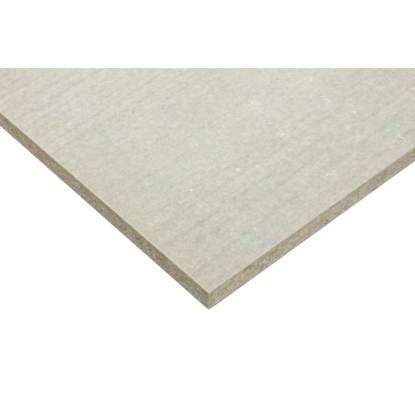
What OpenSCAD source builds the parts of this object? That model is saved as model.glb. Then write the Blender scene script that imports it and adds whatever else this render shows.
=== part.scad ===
// Cement-bonded particle board, one flat pressed sheet with sawn edges.
// The sheet is solid right through: wood particles in cement, no core,
// no facing and no holes. All twelve edges carry a small worn arris.
//
// Millimetres. The origin is at the centre of the underside.
// X runs along the length, Y across the width, Z up through the thickness.

/* [Sheet] */
// Length of the sheet, along X
sheet_length = 1200; // [600:50:3200]
// Width of the sheet, along Y
sheet_width = 600; // [300:25:1250]
// Thickness of the sheet, along Z
sheet_thickness = 12; // [8:1:40]

/* [Arrises] */
// Leg of the worn arris where a face meets a sawn edge
face_arris = 0.4; // [0.1:0.1:1.5]
// Leg of the worn arris where two sawn edges meet at a corner
corner_arris = 0.6; // [0.1:0.1:2]

/* [Hidden] */
cement_grey = [0.82, 0.805, 0.76];

// A rectangle of size a by b, centred on its own middle,
// with each corner cut back by c on both sides.
module clipped_rectangle(a, b, c) {
    x = a / 2;
    y = b / 2;
    polygon([
        [-x + c, -y], [x - c, -y], [x, -y + c], [x, y - c],
        [x - c, y], [-x + c, y], [-x, y - c], [-x, -y + c]
    ]);
}

// The outline seen from above, run up through the thickness.
module plan_prism() {
    linear_extrude(height = sheet_thickness)
        clipped_rectangle(sheet_length, sheet_width, corner_arris);
}

// The section seen along the width, run across the whole width and past it.
module long_section_prism() {
    translate([0, sheet_width / 2 + 1, sheet_thickness / 2])
        rotate([90, 0, 0])
            linear_extrude(height = sheet_width + 2)
                clipped_rectangle(sheet_length, sheet_thickness, face_arris);
}

// The section seen along the length, run along the whole length and past it.
module cross_section_prism() {
    translate([-sheet_length / 2 - 1, 0, sheet_thickness / 2])
        rotate([90, 0, 90])
            linear_extrude(height = sheet_length + 2)
                clipped_rectangle(sheet_width, sheet_thickness, face_arris);
}

// The whole sheet: what the outline and both sections have in common.
module cement_particle_board() {
    color(cement_grey)
        intersection() {
            plan_prism();
            long_section_prism();
            cross_section_prism();
        }
}

cement_particle_board();
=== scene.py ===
"""Cement-bonded particle board: looks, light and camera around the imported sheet.

The sheet is one piece. Its mesh is built here in code, closed, inside the
packed sheet's box: flat faces, worn arrises with small crumbled spots, and sawn
edges with pits and torn particles. All colour, grain and fine relief come from
procedural materials in the sheet's own coordinates, in millimetres.
"""

import math

import bpy
import numpy as np
from mathutils import Matrix, Vector
from mathutils.geometry import delaunay_2d_cdt

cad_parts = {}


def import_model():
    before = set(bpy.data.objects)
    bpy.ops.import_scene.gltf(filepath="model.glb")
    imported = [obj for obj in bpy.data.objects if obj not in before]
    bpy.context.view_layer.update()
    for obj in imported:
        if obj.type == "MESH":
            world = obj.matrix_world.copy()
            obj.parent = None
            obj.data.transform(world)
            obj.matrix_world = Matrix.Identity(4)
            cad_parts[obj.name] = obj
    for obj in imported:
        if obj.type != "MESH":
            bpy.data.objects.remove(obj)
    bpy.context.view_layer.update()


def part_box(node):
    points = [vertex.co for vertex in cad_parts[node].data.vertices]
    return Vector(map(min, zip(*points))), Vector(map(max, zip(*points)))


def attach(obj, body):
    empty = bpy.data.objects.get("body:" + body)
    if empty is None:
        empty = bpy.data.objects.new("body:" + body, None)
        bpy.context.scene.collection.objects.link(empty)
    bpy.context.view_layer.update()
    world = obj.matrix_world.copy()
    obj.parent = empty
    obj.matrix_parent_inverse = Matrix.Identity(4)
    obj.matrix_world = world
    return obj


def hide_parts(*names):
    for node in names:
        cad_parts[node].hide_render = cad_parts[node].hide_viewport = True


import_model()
NODE = "cement_particle_board"
box_lo, box_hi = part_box(NODE)

MM = 0.001
HX = (box_hi.x - box_lo.x) / 2 / MM  # half length, 600 mm
HY = (box_hi.y - box_lo.y) / 2 / MM  # half width, 300 mm
T = (box_hi.z - box_lo.z) / MM  # thickness, 12 mm


# ---------------------------------------------------------------- numbers
def hashed(ix, iy, iz, seed):
    """Repeatable pseudo-random numbers from 0 to 1 for whole-number cells."""
    h = (
        ix.astype(np.int64) * 374761393
        + iy.astype(np.int64) * 668265263
        + iz.astype(np.int64) * 2147483647
        + seed * 1274126177
    ) & 0xFFFFFFFF
    h = ((h ^ (h >> 13)) * 1274126177) & 0xFFFFFFFF
    h = ((h ^ (h >> 16)) * 2246822519) & 0xFFFFFFFF
    h = h ^ (h >> 15)
    return (h & 0xFFFFFF) / float(0xFFFFFF)


def value_noise(p, size, seed):
    """Smooth noise from -1 to 1 at points p (mm), with cells of size (mm, one number or three)."""
    q = p / np.asarray(size, float)
    i = np.floor(q)
    f = q - i
    w = f * f * f * (f * (f * 6 - 15) + 10)
    total = 0
    for a in (0, 1):
        for b in (0, 1):
            for c in (0, 1):
                k = hashed(i[:, 0] + a, i[:, 1] + b, i[:, 2] + c, seed)
                wx = w[:, 0] if a else 1 - w[:, 0]
                wy = w[:, 1] if b else 1 - w[:, 1]
                wz = w[:, 2] if c else 1 - w[:, 2]
                total = total + k * wx * wy * wz
    return total * 2 - 1


def fractal(p, size, seed, octaves=3, gain=0.5):
    size = np.asarray(size, float)
    total, weight, norm = 0, 1.0, 0.0
    for k in range(octaves):
        total = total + weight * value_noise(p, size / 2**k, seed + 101 * k)
        norm += weight
        weight *= gain
    return total / norm


def pits(p, size, share, radius, seed):
    """Rounded pits scattered one to a cell, in a share of the cells: 0 outside, 1 at a pit's middle."""
    q = p / np.asarray(size, float)
    base = np.floor(q)
    depth = np.zeros(len(p))
    for a in (-1, 0, 1):
        for b in (-1, 0, 1):
            for c in (-1, 0, 1):
                cell = base + (a, b, c)
                present = hashed(cell[:, 0], cell[:, 1], cell[:, 2], seed) < share
                at = np.stack(
                    [
                        cell[:, k]
                        + hashed(cell[:, 0], cell[:, 1], cell[:, 2], seed + 7 + k)
                        for k in range(3)
                    ],
                    -1,
                )
                grow = 0.45 + 0.9 * hashed(
                    cell[:, 0], cell[:, 1], cell[:, 2], seed + 19
                )
                d = np.linalg.norm((q - at), axis=1) / (radius * grow)
                deep = np.clip(1 - d * d, 0, 1) * present
                depth = np.maximum(depth, deep)
    return depth


# ---------------------------------------------------------------- the sheet's outline
# The photographed corner is the one at low X and low Y: its edges get the finest mesh.
CORNER_R = 0.6
FINE, FINE_RUN, COARSE = 0.5, 185.0, 1.45


def run(length, fine_start, fine_end):
    """Distances along an edge, fine near the ends asked for and coarse elsewhere, with the step growing gently between."""
    out, s = [0.0], 0.0
    while s < length:
        near = 1e9
        if fine_start:
            near = min(near, s)
        if fine_end:
            near = min(near, length - s)
        step = (
            FINE
            if near < FINE_RUN
            else min(COARSE, FINE + (near - FINE_RUN) * 0.02)
            if near < 1e8
            else COARSE
        )
        s += step
        out.append(s)
    out = np.array(out[:-1] if length - out[-2] < 0.5 * (out[-1] - out[-2]) else out)
    return out * (length / out[-1])


def outline():
    """Points, outward normals and side numbers, counter-clockwise from the low-X, low-Y corner."""
    r = CORNER_R
    sides = (
        ((-HX + r, -HY), (1, 0), 2 * (HX - r), (0, -1), True, False),
        ((HX, -HY + r), (0, 1), 2 * (HY - r), (1, 0), False, False),
        ((HX - r, HY), (-1, 0), 2 * (HX - r), (0, 1), False, False),
        ((-HX, HY - r), (0, -1), 2 * (HY - r), (-1, 0), False, True),
    )
    centres = ((HX - r, -HY + r), (HX - r, HY - r), (-HX + r, HY - r), (-HX + r, -HY + r))
    pts, nrm, side = [], [], []
    for k, (start, way, length, out, f0, f1) in enumerate(sides):
        for s in run(length, f0, f1):
            pts.append((start[0] + way[0] * s, start[1] + way[1] * s))
            nrm.append(out)
            side.append(k)
        a0 = math.atan2(out[1], out[0])
        for j in (1, 2, 3):
            a = a0 + j / 4 * math.pi / 2
            pts.append((centres[k][0] + r * math.cos(a), centres[k][1] + r * math.sin(a)))
            nrm.append((math.cos(a), math.sin(a)))
            side.append(k if j < 2 else (k + 1) % 4)
    return np.array(pts), np.array(nrm), np.array(side)


base, normal, side = outline()
COLS = len(base)
INNER = 19  # levels up the sawn edge, between the arrises
ARC = 2  # steps round each arris


def level_points():
    """Rings of points from the underside's rim, up the sawn edge, to the top face's rim."""

    def at(z):
        return np.column_stack([base, np.full(COLS, float(z))])

    # arris wear: a fine even rounding, softer in places, with rare crumbled spots
    def wear(z, seed):
        p = at(z)
        r = 0.14 + 0.07 * fractal(p, 9.0, seed, 3) + 0.04 * value_noise(p, 1.6, seed + 5)
        spot = pits(p, 26.0, 0.5, 0.055, seed + 9)
        return np.clip(r, 0.08, None) + 0.45 * spot

    tip = np.hypot(HX - np.abs(base[:, 0]), HY - np.abs(base[:, 1]))
    low, high = wear(0.0, 11) + 0.8 * np.exp(-tip / 1.2), wear(T, 57) + 0.15 * np.exp(-tip / 1.2)
    # a worn arris reaches less far across the face than up the edge, so that it stays inside the rounded corners
    across = 0.8 * CORNER_R
    rows = []
    for k in range(ARC + 1):
        a = k / ARC * math.pi / 2
        rows.append((low * (1 - math.cos(a)), np.minimum(low, across) * (1 - math.sin(a))))
    for k in range(1, INNER + 1):
        t = k / (INNER + 1)
        rows.append((low + (T - high - low) * t, np.zeros(COLS)))
    for k in range(ARC, -1, -1):
        a = k / ARC * math.pi / 2
        rows.append((T - high * (1 - math.cos(a)), np.minimum(high, across) * (1 - math.sin(a))))
    points, hollow = [], []
    for z, inset in rows:
        p = np.column_stack([base, z])
        d = depth_of(p)
        keep = np.clip(np.minimum(z, T - z) / 0.9, 0.08, 1)
        d = d[0] * keep
        xy = base - normal * (inset + d)[:, None]
        points.append(np.column_stack([xy, z]))
        hollow.append(depth_of(p)[1] * np.clip(np.minimum(z, T - z) / 0.8, 0, 1))
    return points, hollow


def depth_of(p):
    """How far the sawn surface lies inside the flat plane of the edge, in mm, and how much of a hollow each point is."""
    grain = 0.03 + 0.03 * fractal(p, (3.2, 3.2, 1.1), 3, 3, 0.6)
    long_wave = 0.015 * (1 + value_noise(p, (45.0, 45.0, 20.0), 29))
    big = pits(p, (7.5, 7.5, 2.4), 0.34, 0.34, 71)
    small = pits(p, (2.6, 2.6, 1.2), 0.30, 0.33, 83)
    hole = np.clip(0.42 * big + 0.20 * small, 0, 0.5)
    return np.clip(grain + long_wave, 0.0, None) + hole, np.clip(big + 0.6 * small, 0, 1)


def face_fill(ring, inside):
    """Triangles over a flat face from its rim, coarser towards the middle."""
    pts = [Vector((float(x), float(y))) for x, y in ring]
    n = len(pts)
    pts += [Vector(q) for q in inside]
    edges = [(i, (i + 1) % n) for i in range(n)]
    verts, _, faces, orig, _, _ = delaunay_2d_cdt(pts, edges, [], 1, 1e-7)
    return verts, faces, orig


def inner_points():
    """A graded cloud of points inside the faces: close beside the rim, wide in the middle."""
    out = []
    for inset, step in ((2.2, 2.6), (5.5, 5.0), (11.0, 9.0), (21.0, 16.0), (40.0, 28.0)):
        x, y = HX - inset, HY - inset
        nx, ny = max(2, round(2 * x / step)), max(2, round(2 * y / step))
        for k in range(nx):
            out += [(-x + 2 * x * k / nx, -y), (x - 2 * x * k / nx, y)]
        for k in range(ny):
            out += [(x, -y + 2 * y * k / ny), (-x, y - 2 * y * k / ny)]
    for gx in np.arange(-HX + 85, HX - 84, 43.0):
        for gy in np.arange(-HY + 85, HY - 84, 43.0):
            out.append((float(gx), float(gy)))
    return out


def build_sheet():
    points, hollow = level_points()
    rows = len(points)
    co = np.concatenate(points)
    pit = np.concatenate(hollow)
    faces, mats, smooth, uvs = [], [], [], []

    # running length round the outline, for the map of the sawn edges
    step = np.linalg.norm(np.roll(base, -1, 0) - base, axis=1)
    # the map: the top face takes the upper half, the six edge strips a band, the underside the rest
    px = 1 / 1024
    strip_h, strip_gap = 14 * px, 5 * px
    strips_v = 0.5 - 8 * px
    strip_of, u_of = np.zeros(COLS, int), np.zeros(COLS)
    strip_span = []
    start_cols = [0] + [int(np.flatnonzero(side == k)[0]) for k in (1, 2, 3)] + [COLS]
    number = 0
    for k in range(4):
        first, last = start_cols[k], start_cols[k + 1]
        parts = 2 if k in (0, 2) else 1
        cuts = [first + (last - first) * j // parts for j in range(parts + 1)]
        if parts == 2:  # halve by length and not by count
            lengths = np.cumsum(step[first:last])
            cuts[1] = first + int(np.searchsorted(lengths, lengths[-1] / 2))
        for a, b in zip(cuts[:-1], cuts[1:]):
            strip_span.append((number, a, b))
            number += 1
    v_across = np.concatenate([[0], np.cumsum([0.3, 0.3] + [1.0] * (INNER + 1) + [0.3, 0.3])])
    v_across = v_across / v_across[-1]
    for number, a, b in strip_span:
        seg = np.concatenate([[0], np.cumsum(step[a:b])])
        seg = 2 * px + seg / seg[-1] * (1 - 4 * px)
        v0 = strips_v - (number + 1) * strip_h - number * strip_gap
        for i in range(a, b):
            j = (i + 1) % COLS
            u0, u1 = seg[i - a], seg[i - a + 1]
            for k in range(rows - 1):
                faces.append(
                    (k * COLS + i, k * COLS + j, (k + 1) * COLS + j, (k + 1) * COLS + i)
                )
                mats.append(0 if k >= rows - 2 or k < 1 else 1)
                smooth.append(True)
                w0, w1 = v0 + strip_h * v_across[k], v0 + strip_h * v_across[k + 1]
                uvs += [(u0, w0), (u1, w0), (u1, w1), (u0, w1)]

    inside = inner_points()
    extra = []
    count = len(co)
    # top face, then the underside, which is wound the other way round
    for ring_row, z, flip, v_low, v_high in (
        (rows - 1, T, False, 0.5 + 1 * px, 1 - 2 * px),
        (0, 0.0, True, 2 * px, strips_v - 6 * (strip_h + strip_gap) - 3 * px),
    ):
        ring = points[ring_row][:, :2]
        verts, tris, orig = face_fill(ring, inside)
        index = []
        for k, v in enumerate(verts):
            source = [o for o in orig[k] if o < COLS]
            if source:
                index.append(ring_row * COLS + source[0])
            else:
                index.append(count + len(extra))
                extra.append((v.x, v.y, z))
        for tri in tris:
            tri = [index[k] for k in tri]
            if flip:
                tri = tri[::-1]
            faces.append(tuple(tri))
            mats.append(0)
            smooth.append(False)
            for k in tri:
                x, y = (co[k][0], co[k][1]) if k < count else extra[k - count][:2]
                u = (x + HX) / (2 * HX) * (1 - 4 * px) + 2 * px
                v = (y + HY) / (2 * HY) * (v_high - v_low) + v_low
                uvs.append((1 - u if flip else u, v))
    co = np.concatenate([co, np.array(extra)])
    pit = np.concatenate([pit, np.zeros(len(extra))])

    mesh = bpy.data.meshes.new("sheet")
    mesh.from_pydata([tuple(v) for v in co * MM], [], faces)
    mesh.polygons.foreach_set("material_index", np.array(mats, np.int32))
    mesh.polygons.foreach_set("use_smooth", np.array(smooth, bool))
    layer = mesh.uv_layers.new(name="OFBake")
    layer.uv.foreach_set("vector", np.array(uvs, np.float32).ravel())
    attribute = mesh.attributes.new("pit", "FLOAT", "POINT")
    attribute.data.foreach_set("value", pit.astype(np.float32))
    mesh.update()
    obj = bpy.data.objects.new("sheet_board", mesh)
    bpy.context.scene.collection.objects.link(obj)
    return obj


# ---------------------------------------------------------------- materials
# strengths of the face's tone layers, as shares of the base colour
K_LINE, K_LINE2, K_STREAK = -0.070, -0.015, 0.05
K_M1, K_M2, K_M3 = 0.26, 0.31, 0.09
K_C1, K_C2, K_C3 = 0.05, 0.13, 0.12
K_RIM = -0.075
K_GRIT = 0.55
K_DASH = -0.075
E_CHIP, E_LUM, E_FINE, E_WIDE, E_RIM = 0.31, 0.70, 1.32, 0.20, -0.06
# scuffs: place from the low-X and low-Y edges, length, breadth (mm), angle (degrees), strength
SCUFFS = (
    (110.0, 83.0, 13.0, 8.0, 36.0, 0.95),
    (100.0, 52.0, 9.0, 5.0, -70.0, 1.0),
    (96.0, 15.0, 11.0, 7.0, -16.0, 0.75),
    (139.0, 57.0, 9.0, 5.0, 80.0, 0.95),
    (146.0, 78.0, 12.0, 4.5, -43.0, 0.85),
    (83.0, 25.0, 7.0, 4.0, 60.0, 0.75),
    (113.0, 52.0, 6.5, 4.5, 50.0, 0.85),
    (31.0, 20.0, 9.0, 4.0, 12.0, 0.6),
    (142.0, 40.0, 9.0, 4.0, -44.0, 0.75),
    (145.0, 10.0, 10.0, 5.0, 60.0, 0.7),
    (171.0, 51.0, 8.0, 3.5, 5.0, 0.7),
    (130.0, 33.0, 8.0, 4.0, 0.0, 0.65),
    (122.0, 36.0, 5.0, 3.5, 80.0, 0.6),
)
# press lines near that corner: place at 32 mm from the low-X edge, slope, half width (mm),
# strength by the low-X edge and strength 130 mm in from it
ROWS = (
    (5.5, 0.035, 2.0, -0.60, 1.10),
    (14.0, 0.066, 2.3, 1.05, 0.95),
    (17.0, -0.010, 1.5, -2.60, 0.80),
    (25.9, 0.050, 1.9, 1.05, 0.85),
    (34.7, 0.028, 1.9, 1.00, 0.70),
    (45.0, 0.024, 1.9, 0.95, 0.70),
    (53.5, 0.020, 1.6, 0.65, 0.65),
    (61.0, 0.015, 1.5, 0.30, 0.50),
    (69.0, 0.020, 1.4, 0.40, 0.15),
    (75.5, 0.020, 1.5, 0.75, 0.40),
    (83.0, 0.060, 1.5, 0.35, 0.55),
    (92.0, 0.065, 1.3, 0.25, 0.18),
    (98.5, 0.065, 1.3, 0.22, 0.40),
    (107.5, 0.070, 1.5, 0.50, 0.40),
    (114.5, 0.075, 1.5, 0.50, 0.60),
    (119.0, 0.075, 1.4, 0.40, 0.60),
    (124.3, 0.078, 1.8, 0.85, 0.65),
    (132.0, 0.090, 1.8, 1.20, 1.15),
    (139.8, 0.080, 1.5, 0.55, 0.50),
    (146.2, 0.080, 1.6, 0.60, 0.45),
    (152.4, 0.085, 1.7, 0.90, 0.85),
    (161.3, 0.100, 1.9, 1.00, 0.80),
    (171.0, 0.090, 1.7, 0.75, 0.95),
    (182.0, 0.075, 1.7, 0.42, 0.45),
    (188.5, 0.085, 1.5, 0.50, 0.50),
    (197.5, 0.085, 1.7, 0.60, 0.55),
)
# darker smudges, given like the scuffs
SMUDGES = (
    (53.0, 58.0, 18.0, 6.0, 0.0, 0.8),
    (41.0, 50.0, 7.0, 8.0, 0.0, 0.8),
    (75.0, 58.5, 16.0, 5.0, 3.0, 0.6),
    (116.0, 61.0, 10.0, 5.0, 0.0, 0.45),
    (66.0, 16.0, 22.0, 6.0, 4.0, 0.5),
    (18.0, 158.0, 16.0, 4.0, 5.0, 0.6),
)
# broad soft tones: place, radius (mm), strength as a share of the base colour
TONES = (
    # the first tone, a darkening round the low-X, low-Y corner, is painted shade for the light falling off towards that
    # corner
    (0.0, 0.0, 85.0, -0.035),
    (205.0, 15.0, 110.0, -0.055),
    (135.0, 30.0, 85.0, -0.035),
    (15.0, 150.0, 75.0, 0.020),
    (20.0, 200.0, 45.0, -0.055),
    (45.0, 50.0, 38.0, -0.035),
    (5.0, 75.0, 35.0, -0.025),
    (103.0, 102.0, 45.0, -0.028),
    (48.0, 0.0, 36.0, -0.030),
    (100.0, 3.0, 36.0, -0.034),
    (172.0, 50.0, 40.0, -0.028),
    (65.0, 88.0, 60.0, 0.009),
    (18.0, 140.0, 40.0, 0.022),
    (131.0, 58.0, 36.0, 0.022),
)
# broad soft hues: place, radius (mm), yellow against blue, green against pink
HUES = (
    (15.0, 55.0, 55.0, 1.5, 1.2),
    (90.0, 25.0, 60.0, 1.2, 0.2),
    (165.0, 40.0, 50.0, 1.6, 0.4),
    (15.0, 145.0, 45.0, -1.3, -0.8),
    (15.0, 200.0, 50.0, 1.2, -2.6),
    (60.0, 150.0, 45.0, 0.8, -1.2),
    (110.0, 105.0, 45.0, 0.6, -0.8),
    (140.0, 75.0, 35.0, 0.0, -0.8),
)
# single specks: place, radius (mm), and tone, 1 for white and 0 for dark
SPECKS = (
    (64.0, 49.3, 1.30, 0.9),
    (73.1, 44.2, 1.15, 0.7),
    (37.1, 53.6, 1.00, 0.75),
    (100.7, 53.3, 1.10, 0.8),
    (101.2, 55.5, 0.80, 0.7),
    (11.0, 49.0, 0.60, 0.8),
    (55.0, 129.0, 0.55, 0.8),
    (104.0, 69.0, 0.60, 0.9),
    (42.0, 14.0, 0.55, 1.0),
    (26.0, 51.0, 0.55, 0.0),
    (75.0, 53.0, 0.60, 0.0),
    (39.0, 32.0, 0.45, 0.0),
    (14.0, 159.0, 0.90, 0.2),
)
# cut particles that stand out in the two sawn edges beside that corner: distance from the corner, depth below
# the top face, half length, half height (mm), then light, pink against olive, and grey against ochre
END_MARKS = (
    (2.0, 2.3, 3.2, 1.8, -0.26, 0.0, 0.0),
    (19.0, 6.0, 4.5, 5.0, 0.02, -0.45, 0.0),
    (30.5, 5.5, 4.0, 4.5, -0.04, -0.35, 0.1),
    (32.5, 6.5, 1.6, 2.6, -0.18, 0.0, 0.0),
    (41.0, 4.5, 2.4, 1.8, -0.28, 0.1, 0.0),
    (46.0, 7.5, 2.8, 3.0, -0.12, 0.2, 0.0),
    (25.5, 9.5, 3.0, 3.0, 0.0, 0.5, 0.5),
    (65.5, 1.8, 2.4, 1.6, -0.22, 0.0, 0.0),
    (74.5, 2.3, 2.6, 1.6, -0.20, -0.3, 0.0),
    (117.0, 5.0, 5.0, 4.0, 0.02, 0.40, -0.6),
    (131.0, 7.5, 2.2, 2.4, -0.18, -0.2, 0.0),
    (138.0, 5.5, 2.8, 5.0, 0.04, 0.90, -0.9),
    (141.0, 6.3, 2.0, 2.0, -0.22, -0.3, 0.0),
)
SIDE_MARKS = (
    (11.0, 6.5, 2.0, 2.6, 0.03, 0.35, -0.9),
    (22.5, 6.0, 4.0, 4.5, 0.05, -0.50, -0.3),
    (23.5, 1.6, 2.2, 1.4, -0.18, 0.0, 0.0),
    (33.5, 8.0, 1.6, 2.2, -0.25, 0.0, 0.2),
    (44.5, 4.5, 2.8, 3.4, 0.06, -0.48, -0.3),
    (54.0, 9.3, 2.2, 2.6, -0.15, 0.0, 0.1),
    (62.0, 5.5, 2.0, 3.4, 0.05, 0.42, -0.5),
    (83.0, 5.0, 2.4, 3.4, 0.03, 0.35, -0.5),
    (111.0, 6.5, 4.0, 3.6, 0.02, 0.35, -0.5),
    (121.0, 3.5, 2.0, 2.4, -0.20, 0.0, 0.0),
    (135.5, 5.2, 2.4, 4.0, 0.00, 1.50, -0.8),
    (147.0, 6.0, 5.0, 6.0, -0.09, -0.55, 0.0),
)


class Graph:
    """Short names for building a node tree."""

    def __init__(self, name):
        self.mat = bpy.data.materials.new(name)
        self.mat.use_nodes = True
        self.nt = self.mat.node_tree
        self.bsdf = self.nt.nodes["Principled BSDF"]
        coords = self.nt.nodes.new("ShaderNodeTexCoord")
        self.p = self.v("SCALE", coords.outputs["Object"], scale=1 / MM)
        split = self.nt.nodes.new("ShaderNodeSeparateXYZ")
        self.nt.links.new(self.p, split.inputs[0])
        self.x, self.y, self.z = split.outputs

    def put(self, socket, value):
        if isinstance(value, bpy.types.NodeSocket):
            self.nt.links.new(value, socket)
        else:
            socket.default_value = value

    def m(self, op, a, b=0.0, c=None, clamp=False):
        n = self.nt.nodes.new("ShaderNodeMath")
        n.operation, n.use_clamp = op, clamp
        self.put(n.inputs[0], a)
        self.put(n.inputs[1], b)
        if c is not None:
            self.put(n.inputs[2], c)
        return n.outputs[0]

    def v(self, op, a, b=None, scale=None):
        n = self.nt.nodes.new("ShaderNodeVectorMath")
        n.operation = op
        self.put(n.inputs[0], a)
        if b is not None:
            self.put(n.inputs[1], b)
        if scale is not None:
            self.put(n.inputs["Scale"], scale)
        return n.outputs["Value"] if op in ("LENGTH", "DOT_PRODUCT", "DISTANCE") else n.outputs[0]

    def xyz(self, x, y, z):
        n = self.nt.nodes.new("ShaderNodeCombineXYZ")
        self.put(n.inputs[0], x)
        self.put(n.inputs[1], y)
        self.put(n.inputs[2], z)
        return n.outputs[0]

    def noise(self, at, size, detail=2.0, rough=0.5, distort=0.0, colour=False, shift=0.0):
        """Noise with cells of size mm, one number or three; 0 to 1 about 0.5."""
        size = (size,) * 3 if isinstance(size, (int, float)) else size
        q = self.v("MULTIPLY", at, tuple(1 / s for s in size))
        if shift:
            q = self.v("ADD", q, (shift, shift * 1.7, shift * 0.6))
        n = self.nt.nodes.new("ShaderNodeTexNoise")
        n.inputs["Scale"].default_value = 1.0
        n.inputs["Detail"].default_value = detail
        n.inputs["Roughness"].default_value = rough
        n.inputs["Distortion"].default_value = distort
        self.put(n.inputs["Vector"], q)
        return n.outputs["Color"] if colour else n.outputs[0]

    def voronoi(self, at, size, feature="F1", shift=0.0, dims="3D", randomness=1.0):
        size = (size,) * 3 if isinstance(size, (int, float)) else size
        q = self.v("MULTIPLY", at, tuple(1 / s for s in size))
        if shift:
            q = self.v("ADD", q, (shift, shift * 1.3, shift * 0.7))
        n = self.nt.nodes.new("ShaderNodeTexVoronoi")
        n.voronoi_dimensions, n.feature = dims, feature
        n.inputs["Scale"].default_value = 1.0
        n.inputs["Randomness"].default_value = randomness
        self.put(n.inputs["Vector"], q)
        return n.outputs["Distance"], n.outputs["Color"]

    def ramp(self, value, a, b, c=0.0, d=1.0, smooth=True):
        n = self.nt.nodes.new("ShaderNodeMapRange")
        n.interpolation_type = "SMOOTHSTEP" if smooth else "LINEAR"
        self.put(n.inputs[0], value)
        for k, x in zip((1, 2, 3, 4), (a, b, c, d)):
            self.put(n.inputs[k], x)
        return n.outputs[0]

    def mix(self, fac, a, b):
        n = self.nt.nodes.new("ShaderNodeMix")
        n.data_type = "RGBA"
        self.put(n.inputs[0], fac)
        for socket, value in ((n.inputs[6], a), (n.inputs[7], b)):
            self.put(socket, value if isinstance(value, bpy.types.NodeSocket) else (*value, 1.0))
        return n.outputs[2]

    def split(self, colour):
        n = self.nt.nodes.new("ShaderNodeSeparateXYZ")
        self.nt.links.new(colour, n.inputs[0])
        return n.outputs

    def centred(self, value, amount):
        """amount * (value - 0.5)"""
        return self.m("MULTIPLY_ADD", value, amount, -0.5 * amount)

    def total(self, *terms):
        out = terms[0]
        for t in terms[1:]:
            out = self.m("ADD", out, t)
        return out

    def attribute(self, name):
        n = self.nt.nodes.new("ShaderNodeAttribute")
        n.attribute_name = name
        return n.outputs["Fac"]

    def bump(self, height, strength, distance, normal=None):
        n = self.nt.nodes.new("ShaderNodeBump")
        n.inputs["Strength"].default_value = strength
        n.inputs["Distance"].default_value = distance
        self.put(n.inputs["Height"], height)
        if normal is not None:
            self.put(n.inputs["Normal"], normal)
        return n.outputs[0]


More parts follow.
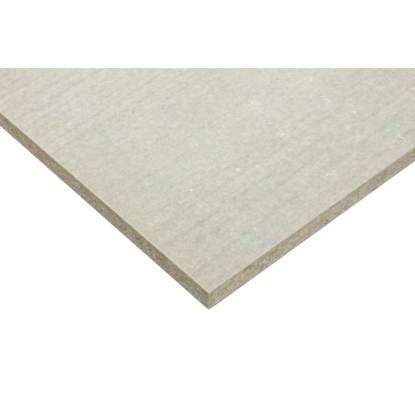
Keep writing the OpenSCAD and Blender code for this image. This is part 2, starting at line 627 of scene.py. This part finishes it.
def face_material():
    """Pressed cement face: pale warm grey, long faint press lines, fine mottling, dusty scuffs and sparse specks."""
    g = Graph("cement_face")
    u, v = g.m("ADD", g.x, HX), g.m("ADD", g.y, HY)

    # press lines run along the sheet, leaning a little one way or the other
    drift = g.centred(g.noise(g.p, (480.0, 300.0, 9.0), 1.0, shift=4.4), 30.0)
    wander = g.centred(g.noise(g.p, (60.0, 26.0, 9.0), 2.0, 0.5, shift=9.1), 2.4)
    yy = g.total(v, g.m("MULTIPLY", u, -0.06), drift, wander)
    q = g.xyz(u, yy, 0.0)

    def lines(pitch, jitter, half, shift):
        """Dark lines a pitch apart: 1 along each line's middle and 0 past its half width."""
        phase = g.total(
            g.m("DIVIDE", yy, pitch),
            g.centred(g.noise(q, (240.0, pitch * 1.1, 9.0), 1.0, 0.5, shift=shift), jitter),
        )
        off = g.m("ABSOLUTE", g.m("SUBTRACT", g.m("FRACT", phase), 0.5))
        return g.ramp(g.m("MULTIPLY", off, pitch), half, 0.1 * half)

    # near the low-X, low-Y corner each line has its own place
    placed = 0.0
    along = g.ramp(u, 5.0, 130.0, smooth=False)
    for at_v, slope, half, near_u, far_u in ROWS:
        line_v = g.m("MULTIPLY_ADD", u, slope, at_v - 32.0 * slope)
        off = g.m("ABSOLUTE", g.m("SUBTRACT", g.m("ADD", v, wander), line_v))
        strength = g.m("MULTIPLY_ADD", along, far_u - near_u, near_u)
        placed = g.m("MAXIMUM", placed, g.m("MULTIPLY", g.ramp(off, half, 0.1 * half), strength))
    here = g.m("MULTIPLY", g.ramp(u, 330.0, 230.0), g.ramp(v, 235.0, 190.0))
    there = g.m("SUBTRACT", 1.0, here)
    long_lines = g.m("MULTIPLY", lines(8.4, 1.3, 1.9, 6.3), there)
    short_lines = lines(4.6, 1.5, 1.5, 15.9)
    knots = g.ramp(g.noise(q, (26.0, 7.0, 9.0), 2.0, 0.55, shift=2.2), 0.34, 0.58, 0.48, 1.0)
    breaks = g.ramp(g.noise(q, (11.0, 2.2, 9.0), 1.0, 0.5, shift=12.2), 0.45, 0.62)
    # the lines come in long bands, with calmer bands between them
    area = g.m("MULTIPLY", g.ramp(g.noise(g.p, (420.0, 75.0, 9.0), 1.0, shift=17.0), 0.40, 0.58), there)
    banded = g.m("MAXIMUM", g.ramp(v, 62.0, 50.0), g.ramp(v, 106.0, 118.0))
    area = g.m("MULTIPLY_ADD", banded, here, area)
    long_lines = g.m("ADD", g.m("MULTIPLY", long_lines, area), g.m("MULTIPLY", placed, here))
    line = g.m("MULTIPLY", long_lines, knots)
    line2 = g.m("MULTIPLY", g.m("MULTIPLY", short_lines, breaks), area)
    streak = g.noise(q, (34.0, 4.5, 9.0), 1.0, 0.5, shift=8.7)
    # short dark dashes, most of them along the press lines
    bend = g.noise(g.p, 3.0, 0.0, 0.5, colour=True, shift=3.3)
    qd = g.v("ADD", q, g.v("MULTIPLY", g.v("SUBTRACT", bend, (0.5, 0.5, 0.5)), (2.0, 2.6, 0.0)))
    dd, dc = g.voronoi(qd, (3.6, 1.7, 1.0), dims="2D", shift=27.0)
    dash = g.m("MULTIPLY", g.ramp(dd, 0.50, 0.10), g.ramp(g.split(dc)[0], 0.50, 1.0))
    dash = g.m("MULTIPLY", dash, g.m("MULTIPLY_ADD", long_lines, 0.5, g.m("MULTIPLY_ADD", area, 0.1, 0.4)))

    # mottling, from clouds down to grain
    c1 = g.noise(g.p, 170.0, 3.0, 0.55, shift=2.9)
    c2 = g.noise(g.p, 30.0, 1.0, 0.5, shift=23.7)
    c3 = g.noise(g.p, 9.0, 1.0, 0.5, shift=11.3)
    m1 = g.noise(g.p, (4.0, 3.5, 3.5), 1.0, 0.5, shift=7.3)
    m2 = g.noise(g.p, 1.7, 1.0, 0.5, shift=1.3)
    m3 = g.noise(g.p, 0.62, 0.0, 0.5, shift=5.9)
    gd, gc = g.voronoi(g.p, 2.3, dims="2D", shift=19.0)
    grit = g.m("SUBTRACT", g.split(gc)[0], 0.5)
    grit = g.m("MULTIPLY", grit, g.m("ABSOLUTE", grit))
    grit = g.m("MULTIPLY", grit, g.ramp(gd, 0.22, 0.08))
    # a little greyer towards the edges of the sheet
    dx = g.m("SUBTRACT", HX, g.m("ABSOLUTE", g.x))
    dy = g.m("SUBTRACT", HY, g.m("ABSOLUTE", g.y))
    rim = g.total(
        g.m("POWER", math.e, g.m("MULTIPLY", dx, -1 / 45.0)),
        g.m("POWER", math.e, g.m("MULTIPLY", dy, -1 / 45.0)),
    )
    near = g.m("MINIMUM", dx, dy)
    flat = g.xyz(u, v, 0.0)
    broad = [
        g.ramp(g.v("DISTANCE", flat, (at_u, at_v, 0.0)), radius, 0.0, 0.0, strength)
        for at_u, at_v, radius, strength in TONES
    ]
    # finer and calmer by the low-X, low-Y corner
    close = g.ramp(g.v("LENGTH", flat), 135.0, 75.0)
    calm = g.m("MULTIPLY", g.m("MULTIPLY_ADD", area, 0.22, 0.78), g.m("MULTIPLY_ADD", close, -0.16, 1.0))
    crisp = g.m("MULTIPLY_ADD", close, 1.9, 0.7)
    tone = g.total(
        *broad,
        g.m("MULTIPLY", line, K_LINE),
        g.m("MULTIPLY", line2, K_LINE2),
        g.centred(streak, K_STREAK),
        g.m("MULTIPLY", g.centred(m3, K_M3), crisp),
        g.m("MULTIPLY", grit, K_GRIT),
        g.m("MULTIPLY", dash, K_DASH),
        g.centred(m2, K_M2),
        g.m("MULTIPLY", g.centred(m1, K_M1), calm),
        g.m("MULTIPLY", g.centred(c3, K_C3), calm),
        g.centred(c2, K_C2),
        g.centred(c1, K_C1),
        g.m("MULTIPLY", rim, K_RIM),
        0.052,
    )
    colour = g.v("ADD", g.v("SCALE", (0.638, 0.623, 0.576), scale=tone), (0.640, 0.610, 0.528))
    tint = g.noise(g.p, 21.0, 2.0, 0.5, shift=31.0)
    tint2 = g.noise(g.p, 17.0, 2.0, 0.5, shift=44.0)
    warm, green = g.centred(tint, 2.4), g.centred(tint2, 3.2)
    warm = g.total(warm, g.centred(g.noise(g.p, 70.0, 1.0, 0.5, shift=53.0), 0.5))
    green = g.total(green, g.centred(g.noise(g.p, 60.0, 1.0, 0.5, shift=58.0), 1.2))
    # a little yellower beside the two ends
    ends = g.m("POWER", math.e, g.m("MULTIPLY", dx, -1 / 12.0))
    for at_u, at_v, radius, yellow, leaf in HUES:
        share = g.ramp(g.v("DISTANCE", flat, (at_u, at_v, 0.0)), radius, 0.0)
        warm = g.m("MULTIPLY_ADD", share, 0.34 * yellow, warm)
        green = g.m("MULTIPLY_ADD", share, -0.50 * leaf, green)
    colour = g.v("ADD", colour, g.v("SCALE", (0.010, -0.001, -0.012), scale=warm))
    colour = g.v("ADD", colour, g.v("SCALE", (0.006, -0.008, 0.005), scale=green))
    colour = g.v("ADD", colour, g.v("SCALE", (0.004, 0.001, -0.016), scale=ends))
    # pale arris: a painted highlight along the rim of the top face, stronger on the two ends
    arris_highlight = g.m("MULTIPLY", g.ramp(near, 1.15, 0.75), g.ramp(dx, 1.2, 1.5, 0.38, 0.20))
    colour = g.mix(arris_highlight, colour, (0.73, 0.675, 0.55))
    # painted highlight on the rounded arris of the two ends, lightening the shade it lies in
    end_arris_highlight = g.m("MULTIPLY", g.ramp(g.m("SUBTRACT", T, g.z), 0.01, 0.06), g.ramp(dx, 0.8, 1.2, 0.5, 0.0))
    colour = g.mix(end_arris_highlight, colour, (0.84, 0.77, 0.62))

    # dusty scuffs: clusters of pale flecks, scattered, and a few listed near the low-X, low-Y corner
    fleck = g.ramp(g.noise(g.p, (2.0, 1.7, 1.7), 0.5, 0.5, shift=3.7), 0.46, 0.68)
    wide = g.ramp(g.noise(g.p, (16.0, 12.0, 12.0), 1.0, 0.5, shift=26.0), 0.60, 0.72)
    far = g.ramp(g.m("ADD", u, v), 230.0, 330.0)
    def spread(start, marks):
        """Soft oval patches: the strongest of the marks that cover a point."""
        for at_u, at_v, long, broad, angle, strength in marks:
            ca, sa = math.cos(math.radians(angle)), math.sin(math.radians(angle))
            rel = g.v("SUBTRACT", flat, (at_u, at_v, 0.0))
            a = g.v("DOT_PRODUCT", rel, (2 * ca / long, 2 * sa / long, 0.0))
            b = g.v("DOT_PRODUCT", rel, (-2 * sa / broad, 2 * ca / broad, 0.0))
            r = g.v("LENGTH", g.xyz(a, b, 0.0))
            start = g.m("MAXIMUM", start, g.ramp(r, 1.2, 0.3, 0.0, strength))
        return start

    smudge = g.m("MULTIPLY", spread(0.0, SMUDGES), g.ramp(m1, 0.62, 0.38))
    colour = g.mix(g.m("MULTIPLY", smudge, 0.15), colour, (0.34, 0.32, 0.27))
    patch = spread(g.m("MULTIPLY", wide, g.m("MULTIPLY", far, 0.6)), SCUFFS)
    colour = g.mix(g.m("MULTIPLY", patch, g.m("MULTIPLY_ADD", fleck, 0.62, 0.07)), colour, (0.83, 0.80, 0.72))

    # single specks, then sparse ones all over, more white than dark
    for at_u, at_v, radius, white in SPECKS:
        spot = g.ramp(g.v("DISTANCE", flat, (at_u, at_v, 0.0)), 1.15 * radius, 0.4 * radius, 0.0, 0.85)
        shade = (0.86, 0.83, 0.73) if white > 0.5 else (0.30, 0.27, 0.21)
        colour = g.mix(g.m("MULTIPLY", spot, white if white > 0.5 else 0.7 - white), colour, shade)
    d, c = g.voronoi(g.p, 23.0, dims="2D")
    c = g.split(c)
    speck = g.m(
        "MULTIPLY",
        g.ramp(d, g.m("MULTIPLY_ADD", c[0], 0.016, 0.016), 0.006),
        g.ramp(c[1], 0.55, 0.65),
    )
    colour = g.mix(g.m("MULTIPLY", speck, 0.55), colour, (0.86, 0.84, 0.78))
    d, c = g.voronoi(g.p, 27.0, dims="2D", shift=5.0)
    c = g.split(c)
    dark = g.m("MULTIPLY", g.ramp(d, 0.030, 0.012), g.ramp(c[1], 0.5, 0.6))
    colour = g.mix(g.m("MULTIPLY", dark, 0.35), colour, (0.30, 0.27, 0.21))
    g.put(g.bsdf.inputs["Base Color"], colour)
    g.put(g.bsdf.inputs["Roughness"], g.m("MULTIPLY_ADD", m1, 0.12, 0.78))
    g.bsdf.inputs["Specular IOR Level"].default_value = 0.3
    height = g.total(
        g.m("MULTIPLY", line, -0.035),
        g.m("MULTIPLY", line2, -0.02),
        g.m("MULTIPLY", streak, 0.03),
        g.m("MULTIPLY", m2, 0.02),
        g.m("MULTIPLY", m3, 0.01),
    )
    g.put(g.bsdf.inputs["Normal"], g.bump(height, 1.0, MM))
    return g.mat


def edge_material():
    """Sawn edge: brownish cement with wood particles of several colours lying flat, greyer and finer towards both faces."""
    g = Graph("cement_sawn_edge")
    u, v = g.m("ADD", g.x, HX), g.m("ADD", g.y, HY)
    bend = g.noise(g.p, (8.0, 8.0, 4.0), 1.0, 0.5, colour=True)
    q = g.v("ADD", g.p, g.v("MULTIPLY", g.v("SUBTRACT", bend, (0.5, 0.5, 0.5)), (3.0, 3.0, 2.4)))
    depth = g.m("MINIMUM", g.z, g.m("SUBTRACT", T, g.z))
    core = g.ramp(depth, 0.5, 2.4, 0.35, 1.0)

    # cut particles, long ones and short ones, each of its own tone
    d1, c1 = g.voronoi(q, (3.6, 3.6, 2.0), shift=2.0)
    d2, c2 = g.voronoi(q, (1.7, 1.7, 1.1), shift=7.0)
    a, b = g.split(c1), g.split(c2)
    rim1 = g.ramp(d1, 0.50, 0.75)
    rim2 = g.ramp(d2, 0.48, 0.72)
    fine = g.noise(g.p, 0.75, 0.0, 0.5, shift=9.3)
    lum = g.noise(q, (1.6, 1.6, 1.3), 1.0, 0.55, shift=4.1)
    wide = g.noise(g.p, (12.0, 12.0, 6.0), 1.0, 0.5, shift=13.0)
    dx = g.m("SUBTRACT", HX, g.m("ABSOLUTE", g.x))
    dy = g.m("SUBTRACT", HY, g.m("ABSOLUTE", g.y))
    along = g.ramp(dx, 0.8, 1.2)  # 0 on the two ends, 1 on the two long edges
    chips = g.total(g.centred(a[0], E_CHIP), g.centred(b[0], 0.8 * E_CHIP))
    slow = g.noise(g.p, (60.0, 60.0, 60.0), 1.0, 0.5, shift=71.0)
    # the end by the low-X, low-Y corner runs from greyer at the corner to browner, and the long edge darkens a little
    end = g.m("MULTIPLY", g.ramp(u, 3.0, 2.0), g.ramp(v, 320.0, 200.0))
    end_v = g.ramp(v, 25.0, 125.0)
    flank = g.m("MULTIPLY", g.m("MULTIPLY", along, g.ramp(v, 3.0, 2.0)), g.m("MULTIPLY", g.ramp(u, 95.0, 130.0), g.ramp(u, 230.0, 170.0)))
    # particles with a place of their own, on the end and on the long edge
    marks, cover = [0.0, 0.0, 0.0], 0.0
    below = g.m("SUBTRACT", T, g.z)
    for run_along, only, table in (
        (v, g.ramp(u, 3.0, 2.0), END_MARKS),
        (u, g.ramp(v, 3.0, 2.0), SIDE_MARKS),
    ):
        spot = g.xyz(run_along, below, 0.0)
        for at, deep, half_long, half_high, *strengths in table:
            rel = g.v("MULTIPLY", g.v("SUBTRACT", spot, (at, deep, 0.0)), (1 / half_long, 1 / half_high, 0.0))
            share = g.m("MULTIPLY", g.ramp(g.v("LENGTH", rel), 1.25, 0.35), only)
            cover = g.m("MAXIMUM", cover, share)
            for k, strength in enumerate(strengths):
                if strength:
                    marks[k] = g.m("MULTIPLY_ADD", share, strength, marks[k])
    light = g.total(
        1.0,
        marks[0],
        g.centred(wide, E_WIDE),
        g.centred(slow, 0.12),
        g.m("MULTIPLY", g.m("ADD", rim1, rim2), E_RIM),
        g.m("MULTIPLY", end, g.m("MULTIPLY_ADD", end_v, 0.075, -0.045)),
        g.m("MULTIPLY", flank, -0.045),
    )
    grain = g.m("ADD", g.centred(lum, E_LUM), g.m("MULTIPLY", chips, core))
    grain = g.m("MULTIPLY", grain, g.m("MULTIPLY_ADD", along, 0.13, 0.87))
    grain = g.m("ADD", grain, g.m("MULTIPLY", g.centred(fine, E_FINE), g.m("MULTIPLY_ADD", along, -0.05, 1.05)))
    grain = g.m("MULTIPLY", grain, g.m("MULTIPLY_ADD", along, -0.25, 1.0))
    grain = g.m("MULTIPLY", grain, g.m("MULTIPLY_ADD", cover, -0.3, 1.0))
    colour = g.v("SCALE", (0.496, 0.4215, 0.2865), scale=light)
    colour = g.v("ADD", colour, g.v("SCALE", (0.449, 0.412, 0.338), scale=grain))
    # hues: pinkish tan against olive, ochre against grey
    h1 = g.total(g.ramp(g.noise(g.p, (6.5, 6.5, 8.0), 0.4, 0.5, shift=21.0), 0.32, 0.68, -0.58, 0.58), g.centred(b[1], 0.02))
    h1 = g.m("MULTIPLY", h1, g.m("MULTIPLY_ADD", along, -0.30, 1.0))
    # on the long edges the lighter places are more olive and the darker ones browner
    lean = g.total(0.07, g.centred(wide, 1.5), g.centred(lum, 0.8))
    h1 = g.m("SUBTRACT", h1, g.m("MULTIPLY", lean, along))
    h1 = g.total(h1, g.m("MULTIPLY", end, g.m("MULTIPLY_ADD", end_v, 0.50, -0.25)), g.m("MULTIPLY", flank, 0.10))
    h2 = g.total(g.ramp(g.noise(g.p, (6.0, 6.0, 7.0), 0.4, 0.5, shift=37.0), 0.32, 0.68, -0.66, 0.66), g.centred(a[1], 0.06))
    h2 = g.m("MULTIPLY", h2, g.m("MULTIPLY_ADD", along, -0.30, 1.0))
    h2 = g.total(h2, g.centred(slow, -0.9), g.m("MULTIPLY", end, g.m("MULTIPLY_ADD", end_v, -0.68, 0.28)), g.m("MULTIPLY", flank, -0.12))
    # grey places stay neutral and don't turn green
    h1 = g.m("MULTIPLY", h1, g.ramp(h2, 0.1, 0.9, 1.0, 0.45))
    plain = g.m("MULTIPLY_ADD", cover, -0.6, 1.0)
    h1, h2 = g.m("MULTIPLY_ADD", h1, plain, marks[1]), g.m("MULTIPLY_ADD", h2, plain, marks[2])
    colour = g.v("ADD", colour, g.v("SCALE", (0.050, -0.010, 0.034), scale=h1))
    colour = g.v("ADD", colour, g.v("SCALE", (-0.012, 0.012, 0.056), scale=h2))
    # a few pale particles and a few bright ochre ones
    colour = g.mix(g.m("MULTIPLY", g.ramp(b[2], 0.93, 0.96), 0.36), colour, (0.64, 0.58, 0.44))
    colour = g.mix(
        g.m("MULTIPLY", g.m("MULTIPLY", g.ramp(b[2], 0.10, 0.06), core), 0.26), colour, (0.56, 0.43, 0.26)
    )
    # dark gaps between particles
    gap = g.m("MULTIPLY", g.ramp(g.noise(q, (1.5, 1.5, 0.9), 1.0, 0.5, shift=51.0), 0.39, 0.31), core)
    colour = g.mix(g.m("MULTIPLY", gap, 0.62), colour, (0.20, 0.165, 0.10))
    # a darker band just under the upper arris, mostly on the two ends, and a greyer skin below
    under = g.m("SUBTRACT", T, g.z)
    upper = g.m("MULTIPLY", g.ramp(under, 3.6, 1.9), g.ramp(under, g.m("MULTIPLY_ADD", along, -0.7, 0.7), g.m("MULTIPLY_ADD", along, -1.3, 1.8)))
    upper = g.m("MULTIPLY", upper, g.m("MULTIPLY_ADD", along, -0.40, 0.74))
    upper = g.m("MULTIPLY", upper, g.ramp(g.noise(g.p, (5.0, 5.0, 2.0), 1.0, 0.5, shift=61.0), 0.36, 0.6, 0.6, 1.15))
    colour = g.mix(upper, colour, (0.37, 0.325, 0.235))
    # painted highlight along the top of the sawn edge, just under the arris, mostly on the two ends
    edge_top_highlight = g.m("MULTIPLY", g.ramp(under, 1.1, 0.3), g.m("MULTIPLY_ADD", along, -0.30, 0.34))
    colour = g.mix(edge_top_highlight, colour, (0.62, 0.56, 0.43))
    skin = g.ramp(g.z, 4.0, 1.0)
    greyer = g.mix(along, (0.013, 0.031, 0.071), (0.030, 0.045, 0.078))
    colour = g.v("ADD", colour, g.v("SCALE", greyer, scale=skin))
    # standing corners are rubbed pale
    corner = g.ramp(g.m("MAXIMUM", dx, dy), 1.5, 0.6)
    colour = g.mix(g.m("MULTIPLY", corner, 0.20), colour, (0.58, 0.53, 0.42))
    # painted shade in the hollows: darker where the sawn surface is pitted
    pit = g.attribute("pit")
    colour = g.mix(g.m("MULTIPLY", g.ramp(pit, 0.2, 0.9), 0.40), colour, (0.22, 0.185, 0.12))
    # painted contact shadow: darker along the lowest arris, where the sheet stands on the floor
    contact_shadow = g.m("MULTIPLY", g.ramp(g.z, 1.3, 0.3), g.m("MULTIPLY_ADD", along, 0.26, 0.62))
    contact_shadow = g.m("MULTIPLY", contact_shadow, g.ramp(g.noise(g.p, (7.0, 7.0, 3.0), 1.0, 0.5, shift=67.0), 0.36, 0.6, 0.55, 1.15), clamp=True)
    colour = g.mix(contact_shadow, colour, (0.30, 0.265, 0.19))
    g.put(g.bsdf.inputs["Base Color"], colour)
    g.put(g.bsdf.inputs["Roughness"], g.m("MULTIPLY_ADD", lum, 0.1, 0.82))
    g.bsdf.inputs["Specular IOR Level"].default_value = 0.25
    height = g.total(
        g.m("MULTIPLY", lum, 0.10),
        g.m("MULTIPLY", fine, 0.04),
        g.m("MULTIPLY", rim1, -0.05),
        g.m("MULTIPLY", rim2, -0.04),
        g.m("MULTIPLY", gap, -0.10),
    )
    g.put(g.bsdf.inputs["Normal"], g.bump(height, 0.8, MM))
    return g.mat


board = build_sheet()
board.data.materials.append(face_material())
board.data.materials.append(edge_material())
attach(board, "root")
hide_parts(NODE)


# ---------------------------------------------------------------- stage, light and camera
def floor():
    mesh = bpy.data.meshes.new("floor")
    s = 30.0
    mesh.from_pydata([(-s, -s, 0), (s, -s, 0), (s, s, 0), (-s, s, 0)], [], [(0, 1, 2, 3)])
    obj = bpy.data.objects.new("floor", mesh)
    bpy.context.scene.collection.objects.link(obj)
    mat = bpy.data.materials.new("floor_white")
    mat.use_nodes = True
    b = mat.node_tree.nodes["Principled BSDF"]
    b.inputs["Base Color"].default_value = (0.18, 0.18, 0.18, 1)
    b.inputs["Roughness"].default_value = 1.0
    b.inputs["Specular IOR Level"].default_value = 0.0
    b.inputs["Emission Color"].default_value = (1, 1, 1, 1)
    # a little brighter far out, where the lamps no longer reach, so that the floor stays even up to the horizon
    nodes, links = mat.node_tree.nodes, mat.node_tree.links
    coords, reach, glow = (nodes.new("ShaderNode" + n) for n in ("TexCoord", "VectorMath", "MapRange"))
    reach.operation = "LENGTH"
    links.new(coords.outputs["Object"], reach.inputs[0])
    links.new(reach.outputs["Value"], glow.inputs[0])
    for socket, value in zip(glow.inputs[1:5], (1.0, 3.0, 0.90, 1.02)):
        socket.default_value = value
    links.new(glow.outputs[0], b.inputs["Emission Strength"])
    mesh.materials.append(mat)
    obj.location.z = -0.0002


def area_light(name, at, towards, size, power, colour=(1, 1, 1)):
    data = bpy.data.lights.new(name, "AREA")
    data.shape, data.size, data.size_y = "RECTANGLE", size[0], size[1]
    data.energy, data.color = power, colour
    obj = bpy.data.objects.new(name, data)
    bpy.context.scene.collection.objects.link(obj)
    obj.location = at
    obj.rotation_mode = "QUATERNION"
    obj.rotation_quaternion = (Vector(towards) - Vector(at)).to_track_quat("-Z", "Y")
    obj.visible_camera = False
    return obj


def world():
    w = bpy.data.worlds.new("studio")
    bpy.context.scene.world = w
    w.use_nodes = True
    nt = w.node_tree
    nt.nodes.clear()
    out = nt.nodes.new("ShaderNodeOutputWorld")
    pick = nt.nodes.new("ShaderNodeMixShader")
    rays = nt.nodes.new("ShaderNodeLightPath")
    soft, white = nt.nodes.new("ShaderNodeBackground"), nt.nodes.new("ShaderNodeBackground")
    soft.inputs[0].default_value, soft.inputs[1].default_value = (1, 1, 1, 1), 0.14
    white.inputs[0].default_value, white.inputs[1].default_value = (1, 1, 1, 1), 1.05
    nt.links.new(rays.outputs["Is Camera Ray"], pick.inputs[0])
    nt.links.new(soft.outputs[0], pick.inputs[1])
    nt.links.new(white.outputs[0], pick.inputs[2])
    nt.links.new(pick.outputs[0], out.inputs[0])


floor()
world()
area_light("key_overhead", (-0.20, 0.25, 2.2), (-0.2, 0, 0), (2.4, 1.8), 55.0)
area_light("fill_front", (-0.35, -2.2, 0.50), (-0.35, -0.3, 0.0), (1.6, 0.8), 13.5, (0.885, 1.0, 1.19))


def camera():
    """The view in the photo: the lens and place that its four long edge lines fit."""
    data = bpy.data.cameras.new("camera")
    cam = bpy.data.objects.new("camera", data)
    bpy.context.scene.collection.objects.link(cam)
    f_px, size_px = 816.22, 415
    data.sensor_width = 36.0
    data.lens = f_px / size_px * data.sensor_width
    data.shift_x = -0.01169
    azimuth, elevation = math.radians(42.240), math.radians(45.262)
    back = Vector(
        (
            -math.sin(azimuth) * math.cos(elevation),
            -math.cos(azimuth) * math.cos(elevation),
            math.sin(elevation),
        )
    )
    right = Vector((math.cos(azimuth), -math.sin(azimuth), 0.0))
    up = back.cross(right)
    corner = Vector((box_lo.x, box_lo.y, box_hi.z))
    place = corner + Vector((-0.14904, -0.16646, 0.27855))
    cam.matrix_world = Matrix(
        (
            (right.x, up.x, back.x, place.x),
            (right.y, up.y, back.y, place.y),
            (right.z, up.z, back.z, place.z),
            (0, 0, 0, 1),
        )
    )
    # the photo is blank above its 68th row, so the view ends at that distance
    data.clip_start = 0.02
    data.clip_end = 0.47215
    bpy.context.scene.camera = cam


camera()
scene = bpy.context.scene
scene.view_settings.view_transform = "Standard"
scene.view_settings.look = "None"
scene.view_settings.exposure = 0.0
scene.view_settings.gamma = 1.0
